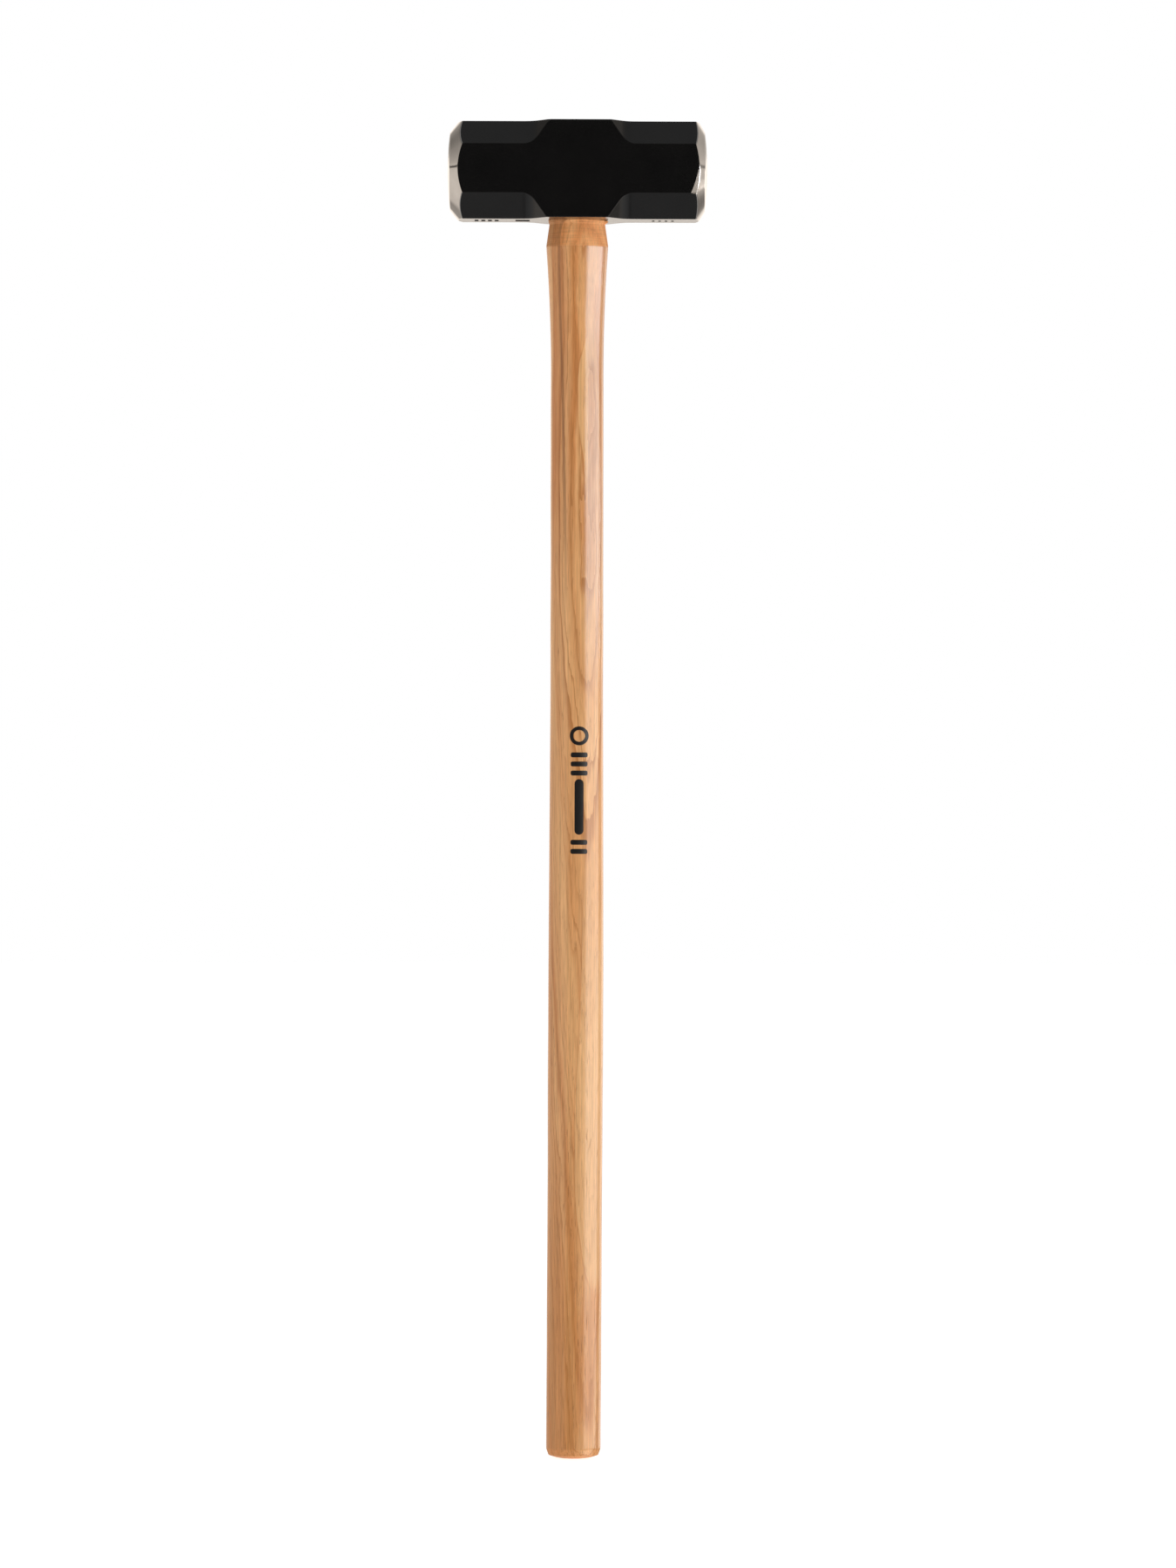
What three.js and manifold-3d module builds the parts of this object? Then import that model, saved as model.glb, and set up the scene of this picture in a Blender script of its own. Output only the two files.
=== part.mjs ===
// Double-faced sledge hammer: forged steel head on a straight hickory handle,
// wedged in the eye. Millimetres. Origin at the lowest point of the butt,
// +Z up the handle to the head, +X along the head, -Y the front.

import * as THREE from "three";
import { mergeVertices } from "three/addons/utils/BufferGeometryUtils.js";
import Module from "manifold-3d";

const wasm = await Module();
wasm.setup();

// ---------------------------------------------------------------- driving dimensions

const OVERALL_LENGTH = 914.4; // 36 in, butt to the end of the tongue
const HEAD_LENGTH = 177.8; // 7 in over the two crowned faces
const HEAD_SIZE = 66.7; // 2 5/8 in square across the cheeks
const CORNER_CHAMFER = 16.6; // leg of the 45 degree chamfer along each arm
const CHEEK_HALF_LENGTH = 20.8; // the middle of the head keeps its full square corners
const RUN_OUT_RADIUS = 14; // each chamfer ends in this arc, then a 45 degree ramp

const FACE_CROWN_RADIUS = 209; // spherical striking face
const LEFT_END = { rimRadius: 26.6, bevelDrop: 0.8 }; // bevelDrop: axial drop per mm of radius
const RIGHT_END = { rimRadius: 27.2, bevelDrop: 0.6 };

const TONGUE_PROUD = 0.4; // the tongue ends this far above the head
const OVAL_RATIO = 0.78; // every handle and eye section: depth along Y over width along X

const EYE_BOTTOM_HALF_WIDTH = 19.7;
const EYE_WAIST_HALF_WIDTH = 18.2;
const EYE_TOP_HALF_WIDTH = 20.4;
const EYE_WAIST_HEIGHT = 24; // above the bottom of the head
const FIT_GAP = 0.35; // between neighbouring solids

const SHOULDER_HALF_WIDTH = 21.2;
const SHOULDER_BELOW_HEAD = 18;
const NECK_HALF_WIDTH = 19.1; // just under the head
const NECK_BELOW_HEAD = 3;
const SWELL_LENGTH = 90; // the shaft widens to the shoulder over this length
const SWELL_STRAIGHT_LENGTH = 46; // and does so slowly at first
const SWELL_LAST_STRETCH = 21; // and eases off again in the last stretch,
const SWELL_LAST_RISE = 1.3; // where it still widens this much
const SHAFT_HALF_WIDTH = 18.05;
const SHAFT_SLIM_HEIGHT = 560; // the shaft is at its slimmest from here to the swell
const GRIP_SWELL_HALF_WIDTH = 18.9;
const GRIP_SWELL_HEIGHT = 290;
const GRIP_HALF_WIDTH = 18.7;
const GRIP_TOP_HEIGHT = 190;
const BUTT_CHAMFER_TOP = 6.8;
const BUTT_RIM_HALF_WIDTH = 17.1;
const BUTT_RIM_HEIGHT = 2.4; // the end grain is slightly domed from this rim to the origin
const BUTT_FLAT_HALF_WIDTH = 6; // and sawn flat in its middle

const KERF_DEPTH = 46; // saw cut in the tongue, along X
const WOOD_WEDGE_LENGTH = 40;
const WOOD_WEDGE_TOP_THICKNESS = 5;
const WOOD_WEDGE_TIP_THICKNESS = 1.6;

const STEEL_WEDGE_WIDTH = 21; // across the wood wedge, along Y
const STEEL_WEDGE_LENGTH = 24;
const STEEL_WEDGE_TOP_THICKNESS = 3.4;
const STEEL_WEDGE_TIP_THICKNESS = 0.8;
const STEEL_WEDGE_OFFSET = 10; // from the centre of the eye, along X
const STEEL_WEDGE_SUNK = 0.4; // below the end of the tongue

const ROUND_SEGMENTS = 48; // around the handle and the eye
const FACE_SEGMENTS = 72; // around the turned ends of the head
const ARC_STEPS = 6;
const GRIP_STEPS = 16;
const SWELL_STEPS = 8;
const OVERSHOOT = 5; // cutters run this far past what they cut

const HEAD_TOP = OVERALL_LENGTH - TONGUE_PROUD;
const HEAD_BOTTOM = HEAD_TOP - HEAD_SIZE;
const HEAD_MIDDLE = HEAD_TOP - HEAD_SIZE / 2;
const SHOULDER_HEIGHT = HEAD_BOTTOM - SHOULDER_BELOW_HEAD;
const SWELL_START_HEIGHT = SHOULDER_HEIGHT - SWELL_LENGTH;

// ---------------------------------------------------------------- materials

const standard = (color, roughness, metalness) =>
  new THREE.MeshStandardMaterial({ color, roughness, metalness });

const blackPaint = standard(0x151414, 0.28, 0);
const hickory = standard(0xd3a070, 0.4, 0);
const wedgeWood = standard(0xc09a68, 0.7, 0);
const wedgeSteel = standard(0x8d8d8b, 0.45, 1);

// ---------------------------------------------------------------- solids and meshes

function toSolid(geometry) {
  const bare = geometry.clone();
  bare.deleteAttribute("normal");
  bare.deleteAttribute("uv");
  const merged = mergeVertices(bare, 1e-4);
  return new wasm.Manifold(
    new wasm.Mesh({
      numProp: 3,
      vertProperties: new Float32Array(merged.attributes.position.array),
      triVerts: new Uint32Array(merged.index.array),
    }),
  );
}

function toMesh(name, solid, material) {
  const { vertProperties, triVerts } = solid.getMesh();
  const geometry = new THREE.BufferGeometry();
  geometry.setAttribute("position", new THREE.BufferAttribute(vertProperties, 3));
  geometry.setIndex(new THREE.BufferAttribute(triVerts, 1));
  geometry.computeVertexNormals();
  const mesh = new THREE.Mesh(geometry, material);
  mesh.name = name;
  return mesh;
}

// An oval solid of revolution about Z; the profile holds half width along X and height.
function ovalSolid(profile) {
  const geometry = new THREE.LatheGeometry(profile, ROUND_SEGMENTS);
  geometry.rotateX(Math.PI / 2);
  geometry.scale(1, OVAL_RATIO, 1);
  return toSolid(geometry);
}

// A prism whose outline lies in the YZ plane, or in the XZ plane when turned, centred on
// the origin along its own length.
function wedgePrism(topThickness, tipThickness, depth, width, top, turned) {
  const outline = new THREE.Shape([
    new THREE.Vector2(-topThickness / 2, top),
    new THREE.Vector2(-tipThickness / 2, top - depth),
    new THREE.Vector2(tipThickness / 2, top - depth),
    new THREE.Vector2(topThickness / 2, top),
  ]);
  const geometry = new THREE.ExtrudeGeometry(outline, { depth: width, bevelEnabled: false });
  geometry.translate(0, 0, -width / 2);
  geometry.rotateX(Math.PI / 2);
  if (!turned) {
    geometry.rotateZ(Math.PI / 2);
  }
  return toSolid(geometry);
}

// ---------------------------------------------------------------- head

// Half of the turned envelope: half a crowned face and its bevel, from the axis outwards.
function endProfile(end) {
  const halfLength = HEAD_LENGTH / 2;
  const points = [];
  for (let step = 0; step <= ARC_STEPS; step += 1) {
    const radius = (end.rimRadius * step) / ARC_STEPS;
    const sag = FACE_CROWN_RADIUS - Math.sqrt(FACE_CROWN_RADIUS ** 2 - radius ** 2);
    points.push(new THREE.Vector2(radius, halfLength - sag));
  }
  const outerRadius = HEAD_SIZE;
  const rim = points[points.length - 1];
  const drop = (outerRadius - end.rimRadius) * end.bevelDrop;
  points.push(new THREE.Vector2(outerRadius, rim.y - drop));
  return points;
}

// Everything inside both bevels and both crowned faces, turned about the head's own axis.
function turnedEnvelope() {
  const left = endProfile(LEFT_END).map((point) => new THREE.Vector2(point.x, -point.y));
  const right = endProfile(RIGHT_END).reverse();
  const geometry = new THREE.LatheGeometry([...left, ...right], FACE_SEGMENTS);
  geometry.rotateZ(-Math.PI / 2);
  return toSolid(geometry);
}

// What one chamfer takes away on one side of the middle. The outline runs along X, and
// its height is the depth below the square corner, measured at 45 degrees.
function chamferCutter() {
  const depth = CORNER_CHAMFER / Math.SQRT2;
  const rampAngle = Math.PI / 4;
  const rampDepth = depth - RUN_OUT_RADIUS * (1 - Math.cos(rampAngle));
  const arcStart = CHEEK_HALF_LENGTH + rampDepth;
  const arcCentre = arcStart + RUN_OUT_RADIUS * Math.sin(rampAngle);
  const outline = new THREE.Shape();
  outline.moveTo(CHEEK_HALF_LENGTH - OVERSHOOT, OVERSHOOT);
  outline.lineTo(arcStart, -rampDepth);
  const straightDown = 1.5 * Math.PI;
  outline.absarc(
    arcCentre,
    RUN_OUT_RADIUS - depth,
    RUN_OUT_RADIUS,
    straightDown - rampAngle,
    straightDown,
    false,
  );
  outline.lineTo(HEAD_LENGTH, -depth);
  outline.lineTo(HEAD_LENGTH, OVERSHOOT);
  outline.closePath();
  const width = HEAD_SIZE;
  const geometry = new THREE.ExtrudeGeometry(outline, {
    depth: width,
    bevelEnabled: false,
    curveSegments: ARC_STEPS,
  });
  geometry.translate(0, 0, -width / 2);
  geometry.translate(0, (HEAD_SIZE / 2) * Math.SQRT2, 0);
  return geometry;
}

// The chamfer cutter on all four long edges of both arms.
function cutChamfers(bar) {
  let cut = bar;
  for (const mirror of [0, Math.PI]) {
    for (let corner = 0; corner < 4; corner += 1) {
      const geometry = chamferCutter();
      geometry.rotateY(mirror);
      geometry.rotateX(Math.PI / 4 + (corner * Math.PI) / 2);
      cut = cut.subtract(toSolid(geometry));
    }
  }
  return cut;
}

// The hourglass hole through the head, grown or shrunk by the given clearance.
function eyeProfile(clearance) {
  const stations = [
    [EYE_BOTTOM_HALF_WIDTH, HEAD_BOTTOM],
    [EYE_WAIST_HALF_WIDTH, HEAD_BOTTOM + EYE_WAIST_HEIGHT],
    [EYE_TOP_HALF_WIDTH, HEAD_TOP],
  ];
  return stations.map(([halfWidth, height]) => new THREE.Vector2(halfWidth - clearance, height));
}

function eyeSolid() {
  const walls = eyeProfile(0);
  const low = new THREE.Vector2(walls[0].x, HEAD_BOTTOM - OVERSHOOT);
  const high = new THREE.Vector2(walls[2].x, HEAD_TOP + OVERSHOOT);
  return ovalSolid([new THREE.Vector2(0, low.y), low, ...walls, high, new THREE.Vector2(0, high.y)]);
}

function makeHead() {
  const bar = toSolid(new THREE.BoxGeometry(HEAD_LENGTH, HEAD_SIZE, HEAD_SIZE));
  const forged = cutChamfers(bar).intersect(turnedEnvelope());
  const placed = forged.translate([0, 0, HEAD_MIDDLE]);
  return toMesh("head", placed.subtract(eyeSolid()), blackPaint);
}

// ---------------------------------------------------------------- handle and wedges

// The long shaft from the grip upwards, and the swell under the shoulder.
function shaftCurve() {
  const shaft = new THREE.SplineCurve([
    new THREE.Vector2(GRIP_HALF_WIDTH, BUTT_CHAMFER_TOP),
    new THREE.Vector2(GRIP_HALF_WIDTH, GRIP_TOP_HEIGHT),
    new THREE.Vector2(GRIP_SWELL_HALF_WIDTH, GRIP_SWELL_HEIGHT),
    new THREE.Vector2(SHAFT_HALF_WIDTH, SHAFT_SLIM_HEIGHT),
    new THREE.Vector2(SHAFT_HALF_WIDTH, SWELL_START_HEIGHT),
  ]);
  const swell = new THREE.CubicBezierCurve(
    new THREE.Vector2(SHAFT_HALF_WIDTH, SWELL_START_HEIGHT),
    new THREE.Vector2(SHAFT_HALF_WIDTH, SWELL_START_HEIGHT + SWELL_STRAIGHT_LENGTH),
    new THREE.Vector2(SHOULDER_HALF_WIDTH - SWELL_LAST_RISE, SHOULDER_HEIGHT - SWELL_LAST_STRETCH),
    new THREE.Vector2(SHOULDER_HALF_WIDTH, SHOULDER_HEIGHT),
  );
  return [...shaft.getPoints(GRIP_STEPS), ...swell.getPoints(SWELL_STEPS).slice(1)];
}

function handleBlank() {
  const dome = new THREE.QuadraticBezierCurve(
    new THREE.Vector2(BUTT_FLAT_HALF_WIDTH, 0),
    new THREE.Vector2((BUTT_FLAT_HALF_WIDTH + BUTT_RIM_HALF_WIDTH) / 2, 0),
    new THREE.Vector2(BUTT_RIM_HALF_WIDTH, BUTT_RIM_HEIGHT),
  );
  const butt = [new THREE.Vector2(0, 0), ...dome.getPoints(ARC_STEPS)];
  const neck = new THREE.Vector2(NECK_HALF_WIDTH, HEAD_BOTTOM - NECK_BELOW_HEAD);
  const tongue = eyeProfile(FIT_GAP);
  const top = new THREE.Vector2(tongue[2].x, OVERALL_LENGTH);
  return ovalSolid([...butt, ...shaftCurve(), neck, ...tongue, top, new THREE.Vector2(0, top.y)]);
}

function woodWedgePrism(gap, depth) {
  return wedgePrism(
    WOOD_WEDGE_TOP_THICKNESS + 2 * gap,
    WOOD_WEDGE_TIP_THICKNESS + 2 * gap,
    depth,
    HEAD_SIZE,
    OVERALL_LENGTH,
    false,
  );
}

function steelWedgeSolid(side) {
  const prism = wedgePrism(
    STEEL_WEDGE_TOP_THICKNESS,
    STEEL_WEDGE_TIP_THICKNESS,
    STEEL_WEDGE_LENGTH,
    STEEL_WEDGE_WIDTH,
    OVERALL_LENGTH - STEEL_WEDGE_SUNK,
    true,
  );
  return prism.translate([side * STEEL_WEDGE_OFFSET, 0, 0]);
}

// The slot that one steel wedge sits in, open at the end of the tongue.
function steelWedgeSlot(side) {
  const prism = wedgePrism(
    STEEL_WEDGE_TOP_THICKNESS + 2 * FIT_GAP,
    STEEL_WEDGE_TIP_THICKNESS + 2 * FIT_GAP,
    STEEL_WEDGE_SUNK + STEEL_WEDGE_LENGTH + FIT_GAP,
    STEEL_WEDGE_WIDTH + 2 * FIT_GAP,
    OVERALL_LENGTH,
    true,
  );
  return prism.translate([side * STEEL_WEDGE_OFFSET, 0, 0]);
}

function cutSteelWedgeSlots(solid) {
  return [-1, 1].reduce((cut, side) => cut.subtract(steelWedgeSlot(side)), solid);
}

function makeHandle() {
  const forked = handleBlank().subtract(woodWedgePrism(FIT_GAP, KERF_DEPTH));
  return toMesh("handle", cutSteelWedgeSlots(forked), hickory);
}

function makeWoodWedge() {
  const walls = eyeProfile(FIT_GAP);
  const eyeRoom = ovalSolid([
    new THREE.Vector2(0, HEAD_BOTTOM),
    ...walls,
    new THREE.Vector2(walls[2].x, OVERALL_LENGTH),
    new THREE.Vector2(0, OVERALL_LENGTH),
  ]);
  const wedge = woodWedgePrism(0, WOOD_WEDGE_LENGTH).intersect(eyeRoom);
  return toMesh("wood_wedge", cutSteelWedgeSlots(wedge), wedgeWood);
}

// ---------------------------------------------------------------- assembly

const sledgeHammer = new THREE.Group();
sledgeHammer.name = "sledge_hammer";
sledgeHammer.add(makeHead());
sledgeHammer.add(makeHandle());
sledgeHammer.add(makeWoodWedge());
sledgeHammer.add(toMesh("steel_wedge_left", steelWedgeSolid(-1), wedgeSteel));
sledgeHammer.add(toMesh("steel_wedge_right", steelWedgeSolid(1), wedgeSteel));

export default sledgeHammer;
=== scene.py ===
import math

import bmesh
import bpy
import numpy as np
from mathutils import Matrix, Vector, noise


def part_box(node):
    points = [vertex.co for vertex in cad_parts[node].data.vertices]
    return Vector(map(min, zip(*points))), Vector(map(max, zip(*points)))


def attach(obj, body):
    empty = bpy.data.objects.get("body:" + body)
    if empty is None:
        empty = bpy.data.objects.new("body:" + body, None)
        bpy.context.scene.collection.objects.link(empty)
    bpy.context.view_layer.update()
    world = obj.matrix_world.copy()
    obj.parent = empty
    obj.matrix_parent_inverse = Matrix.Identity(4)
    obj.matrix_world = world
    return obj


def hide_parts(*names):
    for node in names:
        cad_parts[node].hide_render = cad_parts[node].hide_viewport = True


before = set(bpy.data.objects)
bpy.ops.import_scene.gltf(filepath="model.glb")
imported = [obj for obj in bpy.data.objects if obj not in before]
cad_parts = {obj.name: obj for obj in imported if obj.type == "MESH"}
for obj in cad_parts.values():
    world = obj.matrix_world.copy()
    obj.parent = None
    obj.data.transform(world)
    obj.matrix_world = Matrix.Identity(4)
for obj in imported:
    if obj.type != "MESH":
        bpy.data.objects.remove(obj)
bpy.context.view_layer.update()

MM = 0.001

# ------------------------------------------------------------ driving sizes, in millimetres

head_low, head_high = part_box("head")
handle_low, handle_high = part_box("handle")

HEAD_LENGTH = (head_high.x - head_low.x) / MM
HALF_SIZE = (head_high.y - head_low.y) / MM / 2
HEAD_BOTTOM = head_low.z / MM
HEAD_TOP = head_high.z / MM
HEAD_MIDDLE = (HEAD_BOTTOM + HEAD_TOP) / 2
OVERALL_LENGTH = handle_high.z / MM

CORNER_CHAMFER = 16.6
CHEEK_HALF_LENGTH = 20.8
RUN_OUT_RADIUS = 14.0
UPPER_CHAMFER_SHIFT = 1.8
EDGE_RADIUS = 0.7
CHAMFER_DEPTH = CORNER_CHAMFER / math.sqrt(2)
RAMP_END = CHEEK_HALF_LENGTH + CHAMFER_DEPTH - RUN_OUT_RADIUS * (1 - math.cos(math.pi / 4))
ARC_END = RAMP_END + RUN_OUT_RADIUS * math.sin(math.pi / 4)
ARM_END = 76.0
FACE_CROWN_RADIUS = 209.0
BEVEL_EDGE_ROUNDING = 0.45
RIM_ROUNDING = 0.6
LEFT_END = {"side": -1, "rim": 26.6, "drop": 0.8, "overgrind": 0.0}
RIGHT_END = {"side": 1, "rim": 27.2, "drop": 0.6, "overgrind": 3.2}

OVAL_RATIO = 0.78
EYE_BOTTOM = 19.7
EYE_WAIST = 18.2
EYE_TOP = 20.4
EYE_WAIST_HEIGHT = 24.0
EYE_LIP = 0.8
EYE_WINDOW_HALF_LENGTH = 23.5
EYE_WINDOW_COLUMNS = 7
OVERGRIND_TOP = 3.0
OVERGRIND_TAIL = 0.7
OVERGRIND_SLOPE = 0.2
WEDGED_GAP = 0.04

# (places along the head, half length, half width, depth) of the marks on the underside
STAMPS = [
    ((-69.0, -64.4, -59.8, -55.2), 1.3, 6.5, 0.9),
    ((-37.5,), 4.8, 6.5, 0.9),
    ((52.0, 56.4, 60.8, 65.2), 0.9, 6.0, 0.4),
]
STAMP_FLARE = 0.3

SHOULDER_HEIGHT = HEAD_BOTTOM - 18.0
SHOULDER_HALF_WIDTH = 21.2
NECK_HALF_WIDTH = 19.1
SWELL_LENGTH = 90.0
SHAFT_HALF_WIDTH = 18.05
SHAFT_START = 560.0
GRIP_HALF_WIDTH = 18.7
GRIP_END = 290.0
GRIP_END_HALF_WIDTH = 18.9
BOW = 0.7
BURR_HEIGHT = 2.6
BURR_PLACE = -0.15
BURR_SPREAD = 0.3
SANDING = 0.12

BUTT_RIM = 17.1
BUTT_RIM_HEIGHT = 2.4
BUTT_CHAMFER_TOP = 6.8
BUTT_FLAT = 6.0

KERF_DEPTH = 46.0
KERF_GAP = 0.03
STEEL_SLOT_GAP = 0.06
CUT_ABOVE = 2.0
WOOD_WEDGE_LENGTH = 40.0
WOOD_WEDGE_THICKNESS = (5.0, 1.6)
STEEL_WEDGE_LENGTH = 24.0
STEEL_WEDGE_WIDTH = 21.0
STEEL_WEDGE_THICKNESS = (3.4, 0.8)
STEEL_WEDGE_OFFSET = 10.0
STEEL_WEDGE_SUNK = 0.4

MARK_X = 1.8
MARK_TOP = 501.0
MARK_RING_RADIUS = 6.5
MARK_HOLE_RADIUS = 4.0
MARK_BAR_PITCH = 6.2
MARK_CORNER_STEPS = 8
MARK_LONGEST_EDGE = 0.8
INK_LIFT = 0.03
INK_SUNK = -0.02

CAMERA_PLACE = (0.0086, -5.094, 0.46165)
CAMERA_ROLL = -0.188
CAMERA_LENS = 170.8
CAMERA_SENSOR = 36.0
CAMERA_REACH = 60.0
FLOOR_GLOW = 0.8

SHARP_ANGLE = math.radians(35)
FLAT_STEPS = 10
ARC_STEPS = 4
CHAMFER_STEPS = 8
HANDLE_COLUMNS = 144


# ------------------------------------------------------------ meshes


class Shell:
    """A mesh under construction: rings of points in millimetres, joined by faces."""

    def __init__(self):
        self.points = []
        self.faces = []

    def ring(self, points):
        start = len(self.points)
        self.points.extend(points)
        return list(range(start, len(self.points)))

    def join(self, first, second, skip=()):
        count = len(first)
        for i in range(count):
            if i in skip:
                continue
            after = (i + 1) % count
            self.faces.append((first[i], first[after], second[after], second[i]))

    def fan(self, ring, centre):
        middle = self.ring([centre])[0]
        count = len(ring)
        for i in range(count):
            self.faces.append((ring[i], ring[(i + 1) % count], middle))


def build_piece(name, shell, material, replaced=()):
    """Turns a shell into a finished piece that rides on the body."""
    mesh = bpy.data.meshes.new(name)
    mesh.from_pydata([tuple(c * MM for c in p) for p in shell.points], [], shell.faces)
    work = bmesh.new()
    work.from_mesh(mesh)
    bmesh.ops.remove_doubles(work, verts=work.verts, dist=0.002 * MM)
    bmesh.ops.dissolve_degenerate(work, edges=work.edges, dist=0.0005 * MM)
    bmesh.ops.recalc_face_normals(work, faces=work.faces)
    work.to_mesh(mesh)
    work.free()
    mesh.shade_smooth()
    mesh.set_sharp_from_angle(angle=SHARP_ANGLE)
    mesh.materials.append(material)
    piece = bpy.data.objects.new(name, mesh)
    bpy.context.scene.collection.objects.link(piece)
    smooth = piece.modifiers.new("flat faces stay flat", "WEIGHTED_NORMAL")
    smooth.keep_sharp = True
    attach(piece, "root")
    if replaced:
        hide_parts(*replaced)
    return piece


def bend(before, corner, after, steps):
    """Points of a rounded corner: a parabola from before to after, pulled to corner."""
    points = []
    for i in range(steps + 1):
        t = i / steps
        points.append(
            tuple(
                (1 - t) ** 2 * b + 2 * t * (1 - t) * c + t**2 * a
                for b, c, a in zip(before, corner, after)
            )
        )
    return points


# ------------------------------------------------------------ head


def chamfer_leg(x):
    """Leg of the 45 degree corner chamfer at this place along the head."""
    distance = abs(x)
    if distance <= CHEEK_HALF_LENGTH:
        cut = 0.0
    elif distance <= RAMP_END:
        cut = distance - CHEEK_HALF_LENGTH
    elif distance < ARC_END:
        cut = CHAMFER_DEPTH - RUN_OUT_RADIUS + math.sqrt(RUN_OUT_RADIUS**2 - (ARC_END - distance) ** 2)
    else:
        cut = CHAMFER_DEPTH
    return max(cut * math.sqrt(2), EDGE_RADIUS * (2 - math.sqrt(2)))


def quarter_section(leg):
    """A quarter of the forging's cross-section in (Y, height above its middle)."""
    tangent = EDGE_RADIUS * math.tan(math.pi / 8)
    flat_end = HALF_SIZE - leg - tangent
    quadrant = []
    for i in range(FLAT_STEPS):
        share = math.sin(0.5 * math.pi * i / FLAT_STEPS)
        quadrant.append((HALF_SIZE, flat_end * share))
    for i in range(ARC_STEPS + 1):
        turn = math.pi / 4 * i / ARC_STEPS
        quadrant.append(
            (
                HALF_SIZE - EDGE_RADIUS + EDGE_RADIUS * math.cos(turn),
                flat_end + EDGE_RADIUS * math.sin(turn),
            )
        )
    start = quadrant[-1]
    finish = (start[1], start[0])
    for i in range(1, CHAMFER_STEPS):
        share = 0.5 - 0.5 * math.cos(math.pi * i / CHAMFER_STEPS)
        quadrant.append(
            (start[0] + (finish[0] - start[0]) * share, start[1] + (finish[1] - start[1]) * share)
        )
    for i in range(ARC_STEPS + 1):
        turn = math.pi / 4 * (1 + i / ARC_STEPS)
        quadrant.append(
            (
                flat_end + EDGE_RADIUS * math.cos(turn),
                HALF_SIZE - EDGE_RADIUS + EDGE_RADIUS * math.sin(turn),
            )
        )
    for i in range(FLAT_STEPS - 1, 0, -1):
        share = math.sin(0.5 * math.pi * i / FLAT_STEPS)
        quadrant.append((flat_end * share, HALF_SIZE))
    return quadrant


def head_section(x):
    """The forging's cross-section at x; its upper chamfers were forged a little to the right."""
    upper = quarter_section(chamfer_leg(x - UPPER_CHAMFER_SHIFT))
    lower = quarter_section(chamfer_leg(x))
    section = []
    for turn in range(4):
        for y, z in (upper, upper, lower, lower)[turn]:
            for _ in range(turn):
                y, z = -z, y
            section.append((y, z))
    return section


ARM_SECTION = head_section(HEAD_LENGTH / 2)
QUARTER = len(ARM_SECTION) // 4


def rim_x(end):
    """Distance from the middle of the head to the rim of a striking face."""
    sag = FACE_CROWN_RADIUS - math.sqrt(FACE_CROWN_RADIUS**2 - end["rim"] ** 2)
    return HEAD_LENGTH / 2 - sag


def ground_away(end, y, z):
    """Length of the slanted facet where the grinder ran over onto the lower front."""
    corner = CORNER_CHAMFER - HALF_SIZE
    if y > 0 or z > OVERGRIND_TOP or z < corner - OVERGRIND_TAIL:
        return 0.0
    if z < corner:
        return end["overgrind"] * (z - corner + OVERGRIND_TAIL) / OVERGRIND_TAIL
    return end["overgrind"] * (OVERGRIND_TOP - z) / (OVERGRIND_TOP - corner)


def paint_edge(end):
    """Where the paint stops: just short of the bevel, and further where it was ground away."""
    edge = []
    for y, z in ARM_SECTION:
        x = rim_x(end) - (math.hypot(y, z) - end["rim"]) * end["drop"]
        edge.append(x - BEVEL_EDGE_ROUNDING - ground_away(end, y, z))
    return edge


def bevel_edge(end):
    """(Distance along the head, radius) where the turned bevel starts, round the section."""
    edge = []
    for y, z in ARM_SECTION:
        radius = math.hypot(y, z)
        x = rim_x(end) - (radius - end["rim"]) * end["drop"]
        length = ground_away(end, y, z) / (1 - OVERGRIND_SLOPE * end["drop"])
        fall = length * OVERGRIND_SLOPE
        edge.append((x + fall * end["drop"], radius - fall))
    return edge


def end_ring(end, xs):
    return [(end["side"] * x, y, HEAD_MIDDLE + z) for x, (y, z) in zip(xs, ARM_SECTION)]


def head_stations():
    """Stations along one arm, from the middle of the head to where the arm is plain."""
    cheek = np.linspace(0, CHEEK_HALF_LENGTH, 9)
    ramp = np.linspace(CHEEK_HALF_LENGTH, RAMP_END, 11)[1:]
    arc = np.linspace(RAMP_END, ARC_END, 15)[1:]
    arm = np.linspace(ARC_END, ARM_END, 9)[1:]
    return [float(x) for x in (*cheek, *ramp, *arc, *arm)]


def eye_half_width(z):
    return float(
        np.interp(
            z,
            [HEAD_BOTTOM, HEAD_BOTTOM + EYE_WAIST_HEIGHT, HEAD_TOP],
            [EYE_BOTTOM, EYE_WAIST, EYE_TOP],
        )
    )


def oval_point(half_width, turn, z):
    return (half_width * math.cos(turn), OVAL_RATIO * half_width * math.sin(turn), z)


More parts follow.
